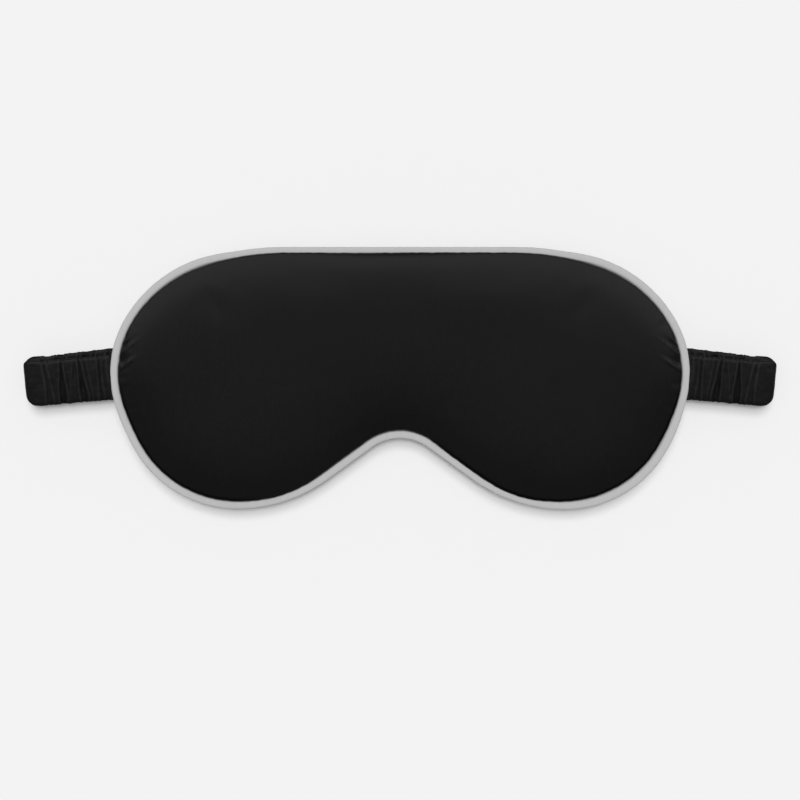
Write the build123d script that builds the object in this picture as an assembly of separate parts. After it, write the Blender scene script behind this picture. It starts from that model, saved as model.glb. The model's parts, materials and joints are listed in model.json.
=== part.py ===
from build123d import *
import os
from math import cos, pi, radians, sin

# Sleep eye mask lying face up on a table with its elastic strap folded under it.
# Millimetres. +Z is up, +Y points to the forehead edge, +X runs along the mask.
# The origin is under the middle of the mask, on the table.
# The mask is one padded body. The strap is a gathered satin sleeve over flat elastic.
# It leaves the mask at each side, folds back at the fold and crosses behind the mask.

# --- mask outline: the seam line, one straight top, tangent arcs, two flanks and a nose arc
SEAM_TOP = 45.3
NOSE_TOP = -19.5
TOP_HALF_LENGTH = 42.7
# radius and sweep in degrees, from the top straight round to the bottom of a lobe
SIDE_ARCS = ((90.5, 19.7), (46.4, 41.1), (35.8, 47.0), (83.9, 11.3), (40.2, 60.9))
LOBE_RADIUS = 52.8
LOBE_SWEEP = 35.9

# --- layers of the mask
SEAM_Z = 10.0
FRONT_BULGE = 7.5
BACK_BULGE = 4.65
CROWN_INSET = 24.0
FABRIC = 0.5
PLY = 0.4
ALLOWANCE = 5.0
PLY_GAP = 0.05
LINING_THICKNESS = 0.5
PADDING_INSET = 6.0
PADDING_GAP = 0.3
RIM_INSET = 0.15

# --- piping
PIPING_DIAMETER = 2.9
PIPING_WALL = 0.4
CORD_DIAMETER = 1.9
PIPING_FLANGE = 0.6

# --- seam threads
THREAD = 0.25
THREAD_INSET = 2.5

# --- strap
STRAP_WIDTH = 16.0
STRAP_THICKNESS = 3.6
STRAP_ROUNDING = 0.45  # corner radius as a share of the thickness
TUNNEL_WIDTH = 13.2
TUNNEL_HEIGHT = 1.6
ELASTIC_WIDTH = 12.0
ELASTIC_THICKNESS = 1.2
FOLD_RADIUS = 4.0
FOLD_X = 131.0
SEAM_HINGE_X = 105.6
BAND_HINGE_X = 20.0
SEGMENT_GAP = 1.2
BAND_Z = STRAP_THICKNESS / 2
LEG_Z = BAND_Z + 2 * FOLD_RADIUS
FOLD_Z = BAND_Z + FOLD_RADIUS
BAND_CENTRE_Y = 7.0
BAND_FOLD_Y = -0.6
LEG_SEAM_Y = -0.6
LEG_FOLD_Y = -2.4

# --- strap ends sewn into the side seams
END_WIDTH = 15.6
END_THICKNESS = 1.5
END_TUNNEL = (14.4, 0.7)
END_ELASTIC = (12.0, 0.5)
END_Z = 7.65
END_INNER_X = 95.6
END_OUTER_X = 105.3
SLOT_CLEARANCE = 0.25
SLOT_OVERRUN = 2.0  # how far the slot runs on past the outer end of the strap end
TACK_SIZE = (1.2, 14.0, 0.3)
TACK_X = 97.6

DOME_STEPS = 5


def arc_points(start, heading, radius, sweep):
    """Middle and end of a clockwise arc; a negative radius and sweep turn the other way."""
    centre_x = start[0] + radius * sin(heading)
    centre_y = start[1] - radius * cos(heading)
    turned = [heading - sweep / 2, heading - sweep]
    return [(centre_x - radius * sin(a), centre_y + radius * cos(a)) for a in turned]


def right_arcs(inset):
    """The convex arcs of the right half of the outline, and where and how they end."""
    point = (TOP_HALF_LENGTH, SEAM_TOP - inset)
    heading = 0.0
    arcs = []
    for radius, degrees in SIDE_ARCS + ((LOBE_RADIUS, LOBE_SWEEP),):
        middle, end = arc_points(point, heading, radius - inset, radians(degrees))
        arcs.append(ThreePointArc(point, middle, end))
        point = end
        heading -= radians(degrees)
    return arcs, point, heading


def nose_closure():
    """Length of the straight flank and radius of the nose arc that close the outline."""
    point = right_arcs(0)[1]
    slope = radians(LOBE_SWEEP)
    rise = NOSE_TOP - point[1]
    # flank * cos + radius * sin = run;  flank * sin + radius * (1 - cos) = rise
    det = cos(slope) * (1 - cos(slope)) - sin(slope) ** 2
    flank = (point[0] * (1 - cos(slope)) - rise * sin(slope)) / det
    radius = (cos(slope) * rise - sin(slope) * point[0]) / det
    return flank, radius


FLANK_LENGTH, NOSE_RADIUS = nose_closure()


def outline(inset):
    """The mask outline as a wire, moved inwards by inset (outwards if negative)."""
    arcs, lobe, heading = right_arcs(inset)
    step = (FLANK_LENGTH * cos(heading), FLANK_LENGTH * sin(heading))
    nose_start = (lobe[0] + step[0], lobe[1] + step[1])
    flank = Line(lobe, nose_start)
    nose_mid, nose_end = arc_points(
        nose_start, heading, -(NOSE_RADIUS + inset), -2 * radians(LOBE_SWEEP)
    )
    top = Line((-TOP_HALF_LENGTH, SEAM_TOP - inset), (TOP_HALF_LENGTH, SEAM_TOP - inset))
    half = arcs + [flank]
    other_half = [edge.mirror(Plane.YZ) for edge in half]
    return Wire([top] + half + [ThreePointArc(nose_start, nose_mid, nose_end)] + other_half)


def outline_face(inset, z):
    """The filled outline at a height."""
    return Pos(0, 0, z) * Face(outline(inset))


def sheet(inset, z_low, z_high):
    """A flat sheet with the mask outline between two heights."""
    return extrude(outline_face(inset, z_low), z_high - z_low, dir=(0, 0, 1))


def ring(outer_inset, inner_inset, z_low, z_high):
    """A flat band that follows the outline."""
    return sheet(outer_inset, z_low, z_high) - sheet(inner_inset, z_low, z_high)


def dome(edge_inset, base_z, bulge):
    """A crowned solid: a quarter ellipse from the edge up (or down) to the flat crown."""
    sections = []
    for step in range(DOME_STEPS + 1):
        angle = pi / 2 * step / DOME_STEPS
        inset = edge_inset + (CROWN_INSET - edge_inset) * (1 - cos(angle))
        sections.append(outline_face(inset, base_z + bulge * sin(angle)))
    return loft(sections, ruled=True)


def cover(base_z, bulge):
    """A sewn cover: a thin crowned shell with a seam allowance turned in along its rim."""
    side = 1 if bulge > 0 else -1
    shell = dome(RIM_INSET, base_z, bulge)
    shell -= dome(RIM_INSET + FABRIC, base_z, bulge - side * FABRIC)
    z_low, z_high = sorted((base_z, base_z + side * PLY))
    return shell + ring(RIM_INSET + FABRIC / 2, ALLOWANCE, z_low, z_high)


def outline_tube(diameter):
    """A round cord that follows the outline just outside the seam."""
    path = Pos(0, 0, SEAM_Z) * outline(-PIPING_DIAMETER / 2)
    start = Plane(origin=path @ 0, z_dir=path % 0)
    return sweep(start * Circle(diameter / 2), path=path)


def strap_face(width, height):
    """A strap cross section in the YZ plane, with its length along +X."""
    return Plane.YZ * RectangleRounded(width, height, STRAP_ROUNDING * height)


def sleeve_face():
    """The gathered sleeve's cross section, with the tunnel for the elastic."""
    return strap_face(STRAP_WIDTH, STRAP_THICKNESS) - strap_face(TUNNEL_WIDTH, TUNNEL_HEIGHT)


def elastic_face():
    """The flat elastic's cross section."""
    return strap_face(ELASTIC_WIDTH, ELASTIC_THICKNESS)


def cut_between(solid, x_low, x_high):
    """The part of a strap segment between two planes across its length."""
    middle = (x_low + x_high) / 2
    tall = 4 * SEAM_TOP
    return solid & (Pos(middle, 0, 0) * Box(x_high - x_low, tall, tall))


def centre_segment(face):
    """The right half of the middle of the strap."""
    length = BAND_HINGE_X - SEGMENT_GAP
    return extrude(Pos(SEGMENT_GAP / 2, BAND_CENTRE_Y, BAND_Z) * face, length, dir=(1, 0, 0))


def band_segment(face):
    """The long part behind the mask: an arc, level at the band hinge."""
    run = FOLD_X - BAND_HINGE_X
    drop = BAND_CENTRE_Y - BAND_FOLD_Y
    radius = (run**2 + drop**2) / (2 * drop)
    start = Vector(BAND_HINGE_X, BAND_CENTRE_Y, BAND_Z)
    middle_x = run / 2
    middle_drop = radius - (radius**2 - middle_x**2) ** 0.5
    middle = start + Vector(middle_x, -middle_drop, 0)
    path = ThreePointArc(start, middle, start + Vector(run, -drop, 0))
    swept = sweep(Pos(*start) * face, path=path)
    return cut_between(swept, BAND_HINGE_X + SEGMENT_GAP / 2, FOLD_X - SEGMENT_GAP / 2)


def leg_segment(face):
    """The short part in front, between the side seam and the fold."""
    start = Vector(SEAM_HINGE_X, LEG_SEAM_Y, LEG_Z)
    run = Vector(FOLD_X - SEAM_HINGE_X, LEG_FOLD_Y - LEG_SEAM_Y, 0)
    prism = extrude(Pos(*start) * face, run.length, dir=run.normalized())
    return cut_between(prism, SEAM_HINGE_X + SEGMENT_GAP / 2, FOLD_X - SEGMENT_GAP / 2)


def fold_segment(face):
    """The half turn that joins the short front part to the long back part."""
    fold_y = (BAND_FOLD_Y + LEG_FOLD_Y) / 2
    axis = Axis((FOLD_X, fold_y, FOLD_Z), (0, 1, 0))
    return revolve(Pos(FOLD_X, fold_y, LEG_Z) * face, axis=axis, revolution_arc=180)


def end_prism(face):
    """A flattened piece of strap under the piping and into the mask."""
    length = END_OUTER_X - END_INNER_X
    return extrude(Pos(END_INNER_X, LEG_SEAM_Y, END_Z) * face, length, dir=(1, 0, 0))


def end_slot(clearance):
    """The room that a sewn strap end takes up in the back cover and padding."""
    width = END_WIDTH + 2 * clearance
    height = END_THICKNESS + 2 * clearance
    length = END_OUTER_X - END_INNER_X + SLOT_OVERRUN
    middle_x = (END_OUTER_X + END_INNER_X + SLOT_OVERRUN) / 2 - clearance
    slot = Pos(middle_x, LEG_SEAM_Y, END_Z) * Box(length, width, height)
    return slot + slot.mirror(Plane.YZ)


def make_mask():
    """The covers, paddings, lining, piping and threads, which share the outline."""
    ply_face = PIPING_FLANGE / 2 + PLY_GAP
    front_base = SEAM_Z + ply_face
    back_base = SEAM_Z - ply_face
    lining_face = LINING_THICKNESS / 2 + PLY_GAP
    front_top = front_base + FRONT_BULGE - FABRIC - PADDING_GAP
    back_bottom = back_base - BACK_BULGE + FABRIC + PADDING_GAP

    tube = outline_tube(PIPING_DIAMETER)
    bore = outline_tube(PIPING_DIAMETER - 2 * PIPING_WALL)
    flange_z = (SEAM_Z - PIPING_FLANGE / 2, SEAM_Z + PIPING_FLANGE / 2)
    flange = ring(-PIPING_WALL / 2, ALLOWANCE, *flange_z)

    padding_front_z = SEAM_Z + lining_face
    padding_back_z = SEAM_Z - lining_face
    thread_front_z = front_base + PLY + PLY_GAP
    thread_back_z = back_base - PLY - PLY_GAP
    thread_ring = (THREAD_INSET - THREAD, THREAD_INSET + THREAD)
    tack_z = END_Z + END_THICKNESS / 2 + PLY_GAP + TACK_SIZE[2] / 2

    back_padding = dome(PADDING_INSET, padding_back_z, back_bottom - padding_back_z)
    pocket = end_slot(SLOT_CLEARANCE) + Pos(0, 0, 2 * SLOT_CLEARANCE) * end_slot(SLOT_CLEARANCE)
    right_tack = Pos(TACK_X, LEG_SEAM_Y, tack_z) * Box(*TACK_SIZE)
    return {
        "front_cover": cover(front_base, FRONT_BULGE),
        "front_padding": dome(PADDING_INSET, padding_front_z, front_top - padding_front_z),
        "blackout_interlining": sheet(
            PADDING_INSET, SEAM_Z - LINING_THICKNESS / 2, SEAM_Z + LINING_THICKNESS / 2
        ),
        "back_padding": back_padding - pocket,
        "back_cover": cover(back_base, -BACK_BULGE) - end_slot(SLOT_CLEARANCE),
        "piping_cover": tube + flange - bore,
        "piping_cord": outline_tube(CORD_DIAMETER),
        "needle_thread": ring(*thread_ring, thread_front_z, thread_front_z + THREAD),
        "bobbin_thread": ring(*thread_ring, thread_back_z - THREAD, thread_back_z),
        "bar_tack_right": right_tack,
        "bar_tack_left": right_tack.mirror(Plane.YZ),
    }


def make_strap():
    """The strap segments, each made on the right and mirrored to the left."""
    segments = {
        "centre": centre_segment,
        "band": band_segment,
        "fold": fold_segment,
        "leg": leg_segment,
    }
    made = {}
    for place, segment in segments.items():
        made[f"strap_sleeve_{place}_right"] = segment(sleeve_face())
        made[f"strap_elastic_{place}_right"] = segment(elastic_face())
    end_sleeve = strap_face(END_WIDTH, END_THICKNESS) - strap_face(*END_TUNNEL)
    made["strap_sleeve_end_right"] = end_prism(end_sleeve)
    made["strap_elastic_end_right"] = end_prism(strap_face(*END_ELASTIC))
    for name, solid in list(made.items()):
        made[name.replace("_right", "_left")] = solid.mirror(Plane.YZ)
    return made


os.makedirs("parts", exist_ok=True)
for node, shape in {**make_mask(), **make_strap()}.items():
    export_step(shape, f"parts/{node}.step")
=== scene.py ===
"""Sleep eye mask: the looks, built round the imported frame.

Metres, in the frame's own axes: +X along the mask, +Y to the forehead edge, +Z out of the front.
Sizes below are millimetres and are multiplied by MM where they are used.
"""

import json
import math

import bpy
import numpy as np
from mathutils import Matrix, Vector, geometry
from mathutils.bvhtree import BVHTree


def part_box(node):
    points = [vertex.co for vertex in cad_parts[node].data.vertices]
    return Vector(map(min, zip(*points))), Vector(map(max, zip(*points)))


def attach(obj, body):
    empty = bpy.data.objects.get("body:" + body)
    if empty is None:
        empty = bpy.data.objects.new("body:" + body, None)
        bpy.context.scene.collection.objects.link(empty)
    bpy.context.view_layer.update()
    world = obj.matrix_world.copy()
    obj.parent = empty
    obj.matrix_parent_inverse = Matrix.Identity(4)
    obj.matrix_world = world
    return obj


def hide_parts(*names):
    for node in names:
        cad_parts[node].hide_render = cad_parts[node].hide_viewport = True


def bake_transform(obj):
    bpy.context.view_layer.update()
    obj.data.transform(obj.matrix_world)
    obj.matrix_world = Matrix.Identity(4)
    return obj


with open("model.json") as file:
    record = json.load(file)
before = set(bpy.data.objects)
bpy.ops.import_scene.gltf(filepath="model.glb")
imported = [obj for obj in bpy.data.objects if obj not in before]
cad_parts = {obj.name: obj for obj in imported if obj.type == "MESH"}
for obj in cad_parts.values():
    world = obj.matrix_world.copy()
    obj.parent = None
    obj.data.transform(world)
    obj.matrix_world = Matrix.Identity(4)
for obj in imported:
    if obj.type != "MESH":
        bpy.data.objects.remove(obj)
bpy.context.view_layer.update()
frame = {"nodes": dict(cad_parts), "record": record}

MM = 0.001
SIDES = {"right": 1.0, "left": -1.0}

# outline
OUTLINE_POINTS = 1200
OUTLINE_CENTRE_Y = 10.0
RIM_INSET = 0.15
CHUNK = 2000

# covers
COVER_FABRIC = 0.35
RIM_RINGS = (0.0, 0.08, 0.2, 0.35, 0.55, 0.8, 1.1, 1.5, 2.0, 2.6, 3.3, 4.1, 5.0, 6.0, 7.1, 8.3)
RIM_RISE = 0.28
RIM_RUN = 0.8
RIM_OVERHANG = 0.18
# where the rim of the front cover rides out over the piping or draws back: x, y, reach and amount
RIM_DRIFT = (
    (-54.0, 44.0, 12.0, -0.22),
    (54.0, 44.0, 12.0, -0.22),
    (-76.0, 37.0, 16.0, -0.30),
    (76.0, 37.0, 16.0, -0.30),
    (-16.0, 46.0, 14.0, -0.20),
    (-42.0, -43.0, 15.0, 0.45),
    (42.0, -44.0, 15.0, 0.80),
    (20.0, -30.0, 12.0, 0.50),
)
INNER_SPACING = 1.15
SIM_SPACING = 3.6
SIM_FRAMES = 20
SIM_PRESSURE = 4.0
# the share of the crown's height that the pad has before the simulation
SIM_START = 0.85
# the most that the simulation moves the crown
SIM_CAP = 0.35
# how fast the crown rounds down to its rim, and the same at the middle of the forehead edge
PILLOW_EDGE = 6.8
PILLOW_EDGE_TOP = 3.2
PILLOW_TOP_REACH = 38
PILLOW_TOP_Y = (0, 30)
CROWN_WAVE = 0.08
CROWN_WAVE_PERIOD = 38
PUCKER_DEPTH = 0.07
PUCKER_PERIODS = (4.1, 5.7, 7.9, 11.3)
RIM_WANDER = 0.05
RIM_WANDER_PERIODS = (3.1, 4.7, 7.3, 11.9)
# how far from the seam the front cover's rolled-under rim gets painted shade: full shade, none
RIM_SHADE_WIDTH = (1.0, 1.6)
PADDING_INSET = 7.2
PADDING_RINGS = (PADDING_INSET, PADDING_INSET + 0.8, PADDING_INSET + 2)
PADDING_STEP = 4
PADDING_SPACING = 2.4
PADDING_ROOM = 0.7
PADDING_LUMP = 0.15
PADDING_THINNEST = 0.4
# the room left under a strap end, and the height that stands for no limit
MOUTH_ROOM = 0.15
NO_CEILING = 50.0


def smoothstep(low, high, value):
    """0 below low, 1 above high, and a smooth step between them."""
    t = np.clip((value - low) / (high - low), 0.0, 1.0)
    return t * t * (3 - 2 * t)


def node_box(name):
    """A CAD node's corners in millimetres."""
    low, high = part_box(name)
    return np.array(low) / MM, np.array(high) / MM


def node_points(name):
    """A CAD node's vertices in millimetres."""
    return np.array([v.co for v in frame["nodes"][name].data.vertices]) / MM


# ---------------------------------------------------------------- outline


def resample(loop, count):
    """A closed loop of points, evenly spaced along its length."""
    closed = np.vstack([loop, loop[:1]])
    run = np.concatenate([[0], np.cumsum(np.linalg.norm(np.diff(closed, axis=0), axis=1))])
    at = np.linspace(0, run[-1], count, endpoint=False)
    return np.stack([np.interp(at, run, closed[:, i]) for i in range(2)], axis=1)


def soften(loop, width):
    """A closed loop with its corners rounded over a few points."""
    kernel = np.hanning(2 * width + 3)[1:-1]
    kernel /= kernel.sum()
    padded = np.vstack([loop[-width:], loop, loop[:width]])
    return np.stack([np.convolve(padded[:, i], kernel, "valid") for i in range(2)], axis=1)


def loop_normals(loop):
    """Outward unit normals of a closed loop that runs anticlockwise."""
    tangent = np.roll(loop, -1, axis=0) - np.roll(loop, 1, axis=0)
    tangent /= np.linalg.norm(tangent, axis=1)[:, None]
    return np.stack([tangent[:, 1], -tangent[:, 0]], axis=1)


def seam_outline():
    """The seam line and its outward normals, from the edge of the interlining."""
    edge = np.unique(np.round(node_points("blackout_interlining")[:, :2], 3), axis=0)
    angle = np.arctan2(edge[:, 1] - OUTLINE_CENTRE_Y, edge[:, 0])
    loop = soften(resample(edge[np.argsort(angle)], OUTLINE_POINTS), 4)
    gap = node_box("front_cover")[1][0] + RIM_INSET - node_box("blackout_interlining")[1][0]
    seam = soften(resample(loop + loop_normals(loop) * gap, OUTLINE_POINTS), 3)
    return seam, loop_normals(seam)


SEAM, SEAM_NORMAL = seam_outline()
SEAM_Z = float(np.mean([node_box("piping_cord")[i][2] for i in (0, 1)]))


def nearest_on_seam(points):
    """The index of the seam point nearest each point, and how far away it is."""
    index = np.empty(len(points), int)
    away = np.empty(len(points))
    for start in range(0, len(points), CHUNK):
        part = points[start : start + CHUNK]
        d = np.linalg.norm(part[:, None, :] - SEAM[None, :, :], axis=2)
        index[start : start + CHUNK] = d.argmin(axis=1)
        away[start : start + CHUNK] = d.min(axis=1)
    return index, away


def inset_of(points):
    """How far inside the seam line each point is."""
    return nearest_on_seam(points)[1]


def perimeter():
    """The length of the seam."""
    return float(np.linalg.norm(SEAM - np.roll(SEAM, 1, axis=0), axis=1).sum())


# ---------------------------------------------------------------- mesh helpers


def add_mesh(name, points, faces):
    """A smooth-shaded mesh object from points in millimetres."""
    mesh = bpy.data.meshes.new(name)
    mesh.from_pydata((np.asarray(points) * MM).tolist(), [], faces)
    mesh.validate()
    mesh.update()
    mesh.shade_smooth()
    piece = bpy.data.objects.new(name, mesh)
    bpy.context.scene.collection.objects.link(piece)
    return piece


def quads(rings, around, closed=False):
    """Faces between neighbouring rings of points; closed joins the last ring to the first."""
    faces = []
    for ring in range(rings if closed else rings - 1):
        a = ring * around
        b = (ring + 1) % rings * around
        for i in range(around):
            j = (i + 1) % around
            faces.append((a + i, a + j, b + j, b + i))
    return faces


def apply_modifiers(piece):
    """Turns what the piece's modifiers make into its mesh."""
    depsgraph = bpy.context.evaluated_depsgraph_get()
    mesh = bpy.data.meshes.new_from_object(piece.evaluated_get(depsgraph))
    piece.modifiers.clear()
    piece.data = mesh


def sheet_points(rings, spacing):
    """Points that fill the outline: rings that follow the seam, and an even field inside."""
    layers = [SEAM - SEAM_NORMAL * inset for inset in rings]
    low, high = SEAM.min(axis=0), SEAM.max(axis=0)
    row_step = spacing * math.sqrt(3) / 2
    field = []
    for row, y in enumerate(np.arange(low[1], high[1], row_step)):
        xs = np.arange(-math.ceil(-low[0] / spacing), math.ceil(high[0] / spacing) + 1)
        xs = (xs + 0.5 * (row % 2)) * spacing
        field.append(np.stack([xs, np.full(len(xs), y)], axis=1))
    field = np.vstack(field)
    field = field[points_inside(field)]
    field = field[inset_of(field) > rings[-1] + 0.6 * spacing]
    return layers, field


def points_inside(points):
    """Whether each point is inside the seam line, by counting crossings."""
    x, y = points[:, 0], points[:, 1]
    inside = np.zeros(len(points), bool)
    a, b = SEAM, np.roll(SEAM, -1, axis=0)
    for (ax, ay), (bx, by) in zip(a, b):
        spans = (ay > y) != (by > y)
        if spans.any():
            cross = ax + (y - ay) * (bx - ax) / (by - ay + 1e-12)
            inside ^= spans & (x < cross)
    return inside


def sheet_mesh(rings, spacing, step=1):
    """Flat triangles that fill the outline, with every step-th point of each ring kept."""
    layers, field = sheet_points(rings, spacing)
    layers = [layer[::step] for layer in layers]
    points = np.vstack(layers + [field])
    count = len(layers[0])
    edges = [(i, (i + 1) % count) for i in range(count)]
    made = geometry.delaunay_2d_cdt([Vector(p) for p in points], edges, [], 1, 1e-4)
    return np.array([list(p) for p in made[0]]), made[2]


# ---------------------------------------------------------------- materials


class Nodes:
    """A material's node tree, with short ways to add and join nodes."""

    def __init__(self, name):
        self.material = bpy.data.materials.new(name)
        self.material.use_nodes = True
        self.tree = self.material.node_tree
        self.shader = self.tree.nodes["Principled BSDF"]
        self.place = self.add("ShaderNodeTexCoord").outputs["Object"]

    def add(self, kind, **values):
        """A new node with some of its settings."""
        node = self.tree.nodes.new(kind)
        for key, value in values.items():
            setattr(node, key, value)
        return node

    def link(self, source, target):
        """Joins an output to an input."""
        self.tree.links.new(source, target)

    def turned(self, degrees, stretch=(1, 1, 1)):
        """The object position, turned about Z and stretched."""
        node = self.add("ShaderNodeMapping")
        node.inputs["Rotation"].default_value = (0, 0, math.radians(degrees))
        node.inputs["Scale"].default_value = stretch
        self.link(self.place, node.inputs["Vector"])
        return node.outputs["Vector"]

    def noise(self, size_mm, detail=3.0, place=None, roughness=0.5):
        """Noise whose features are about size_mm across."""
        node = self.add("ShaderNodeTexNoise")
        node.inputs["Scale"].default_value = 1.0 / (size_mm * MM)
        node.inputs["Detail"].default_value = detail
        node.inputs["Roughness"].default_value = roughness
        self.link(place or self.place, node.inputs["Vector"])
        return node.outputs["Fac"]

    def threads(self, period_mm, degrees, distortion=0.0):
        """Parallel threads with a period and a direction."""
        node = self.add("ShaderNodeTexWave", wave_type="BANDS", bands_direction="X")
        node.inputs["Scale"].default_value = 2 * math.pi / (20 * period_mm * MM)
        node.inputs["Distortion"].default_value = distortion
        node.inputs["Detail"].default_value = 1.0
        self.link(self.turned(degrees), node.inputs["Vector"])
        return node.outputs["Fac"]

    def math(self, operation, a, b):
        """One sum with two sides, each a number or an output."""
        node = self.add("ShaderNodeMath", operation=operation)
        for socket, value in zip(node.inputs, (a, b)):
            if isinstance(value, (int, float)):
                socket.default_value = value
            else:
                self.link(value, socket)
        return node.outputs[0]

    def between(self, factor, low, high):
        """A number that runs from low to high with factor."""
        node = self.add("ShaderNodeMapRange")
        node.inputs["To Min"].default_value = low
        node.inputs["To Max"].default_value = high
        self.link(factor, node.inputs["Value"])
        return node.outputs["Result"]

    def mix(self, factor, low, high):
        """A colour between two colours."""
        node = self.add("ShaderNodeMix", data_type="RGBA")
        for socket, value in ((node.inputs[6], low), (node.inputs[7], high)):
            if isinstance(value, tuple):
                socket.default_value = (*value, 1.0)
            else:
                self.link(value, socket)
        self.link(factor, node.inputs[0])
        return node.outputs[2]

    def bump(self, layers):
        """Bumps laid one over another: (height, depth in mm) pairs."""
        normal = None
        for height, depth in layers:
            node = self.add("ShaderNodeBump")
            node.inputs["Distance"].default_value = depth * MM
            node.inputs["Strength"].default_value = 1.0
            self.link(height, node.inputs["Height"])
            if normal:
                self.link(normal, node.inputs["Normal"])
            normal = node.outputs["Normal"]
        self.link(normal, self.shader.inputs["Normal"])

    def set(self, **values):
        """Sets or joins the shader's inputs by name."""
        for key, value in values.items():
            socket = self.shader.inputs[key.replace("_", " ")]
            if isinstance(value, (int, float, tuple)):
                socket.default_value = (*value, 1.0) if isinstance(value, tuple) else value
            else:
                self.link(value, socket)


def satin(name, dark, light, weave_degrees, rough, sheen, rumple=0.0):
    """Satin cloth: fine long floats, slight slubs, slow changes of tone, and painted highlight and painted
    shade on its folds.

    Rumple is the depth in millimetres of soft dents where the cloth is gathered.
    A mesh may carry "crest" and "hollow" values: crests get a painted highlight, a paler colour; hollows
    get painted shade, a darker colour and weaker specular highlights."""
    n = Nodes(name)
    floats = n.threads(0.42, weave_degrees, 1.2)
    weft = n.threads(0.30, weave_degrees + 90, 0.6)
    slubs = n.noise(0.9, 3, n.turned(weave_degrees, (1, 0.22, 1)))
    cloud = n.noise(22, 2)
    crest = n.add("ShaderNodeAttribute", attribute_name="crest").outputs["Fac"]
    hollow = n.add("ShaderNodeAttribute", attribute_name="hollow").outputs["Fac"]
    tone = n.math("ADD", n.math("MULTIPLY", slubs, 0.6), n.math("MULTIPLY", cloud, 0.4))
    tone = n.math("ADD", tone, n.math("MULTIPLY", n.math("SUBTRACT", floats, 0.5), 0.25))
    # painted highlight: crests mix toward a paler colour; painted shade: hollows mix toward a darker
    # colour
    flat = n.mix(n.math("MULTIPLY", crest, CREST_HIGHLIGHT_SHARE), n.mix(tone, dark, light), CREST_HIGHLIGHT_COLOUR)
    n.set(
        Base_Color=n.mix(hollow, flat, HOLLOW_SHADE_COLOUR),
        Roughness=n.between(slubs, *rough),
        Sheen_Weight=sheen,
        Sheen_Roughness=0.45,
        Specular_IOR_Level=n.between(hollow, 0.45, 0.10),
    )
    n.bump(((floats, 0.012), (weft, 0.006), (slubs, 0.03), (n.noise(2.6, 2), rumple)))
    return n.material


def wadding(name):
    """Loose pale fibre wadding."""
    n = Nodes(name)
    fibres = n.noise(0.5, 6, n.turned(20, (1, 0.25, 1)), 0.7)
    clumps = n.noise(6, 3)
    n.set(Base_Color=n.mix(clumps, (0.62, 0.62, 0.60), (0.82, 0.82, 0.79)), Roughness=0.95)
    n.bump(((clumps, 0.4), (fibres, 0.1)))
    return n.material


def plain_weave(name, dark, light, period, rough=0.85):
    """A plain woven or braided cloth."""
    n = Nodes(name)
    warp = n.threads(period, 0, 0.4)
    weft = n.threads(period, 90, 0.4)
    cross = n.math("MULTIPLY", warp, weft)
    n.set(Base_Color=n.mix(cross, dark, light), Roughness=n.between(n.noise(2), rough - 0.1, rough))
    n.bump(((cross, 0.05),))
    return n.material


def twisted(name, dark, light, period):
    """A twisted thread or cord."""
    n = Nodes(name)
    twist = n.threads(period, 35, 0.3)
    n.set(Base_Color=n.mix(twist, dark, light), Roughness=0.6, Sheen_Weight=0.2)
    n.bump(((twist, 0.05), (n.noise(0.3, 4), 0.02)))
    return n.material


# the darker and the lighter colour of each cloth
BLACK = ((0.0028, 0.0028, 0.0028), (0.0066, 0.0066, 0.0066))
GREY = ((0.47, 0.47, 0.475), (0.56, 0.56, 0.565))
THREAD = ((0.012, 0.012, 0.013), (0.03, 0.03, 0.032))
# painted highlight for the strap's fold crests, and painted shade for its hollows and for the front
# cover's rolled-under rim
CREST_HIGHLIGHT_COLOUR = (0.026, 0.026, 0.026)
HOLLOW_SHADE_COLOUR = (0.0015, 0.0015, 0.0015)
CREST_HIGHLIGHT_SHARE = 0.5


def make_materials():
    """One material for each of the record's slots."""
    return {
        "cover_satin": satin("cover_satin", *BLACK, -30, rough=(0.32, 0.40), sheen=0.02),
        "strap_satin": satin("strap_satin", *BLACK, 90, rough=(0.34, 0.44), sheen=0.05, rumple=0.3),
        "piping_satin": satin("piping_satin", *GREY, 45, rough=(0.45, 0.6), sheen=0.2),
        "wadding": wadding("wadding"),
        "interlining": plain_weave("interlining", (0.01, 0.01, 0.011), (0.03, 0.03, 0.032), 0.5),
        "elastic": plain_weave("elastic", (0.03, 0.03, 0.03), (0.09, 0.09, 0.09), 0.8),
        "cord": twisted("cord", (0.5, 0.5, 0.48), (0.8, 0.8, 0.77), 0.9),
        "seam_thread": twisted("seam_thread", *THREAD, 0.3),
        "tack_thread": twisted("tack_thread", *THREAD, 0.35),
    }


MATERIALS = make_materials()


def finish_piece(piece, slot):
    """Gives a piece the material of a slot."""
    piece.data.materials.clear()
    piece.data.materials.append(MATERIALS[slot])


def place_on_mask(piece, node, slot):
    """Puts a piece in a CAD node's place, riding with the mask."""
    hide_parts(node)
    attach(piece, "mask")
    finish_piece(piece, slot)


def paint_cad_nodes():
    """Each carried-over CAD node takes the material of its slot."""
    for entry in frame["record"]["subparts"]:
        node = frame["nodes"][entry["node"]]
        node.data.materials.clear()
        node.data.materials.append(MATERIALS[entry["material_slot"]])


# ---------------------------------------------------------------- covers


def rim_step(inset):
    """The quick rise of a cover out of its seam: 0 on the seam, 1 past the rim."""
    return np.sqrt(1 - (1 - np.clip(inset / RIM_RUN, 0, 1)) ** 2)


def pillow(points, inset):
    """An even pad that rounds down to its rim, faster at the middle of the forehead edge.

    The height is 0 on the rim and nears 1 inside."""
    across = np.exp(-((points[:, 0] / PILLOW_TOP_REACH) ** 2))
    middle = across * smoothstep(*PILLOW_TOP_Y, points[:, 1])
    edge = PILLOW_EDGE + (PILLOW_EDGE_TOP - PILLOW_EDGE) * middle
    return 1 - np.exp(-inset / edge)


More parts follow.
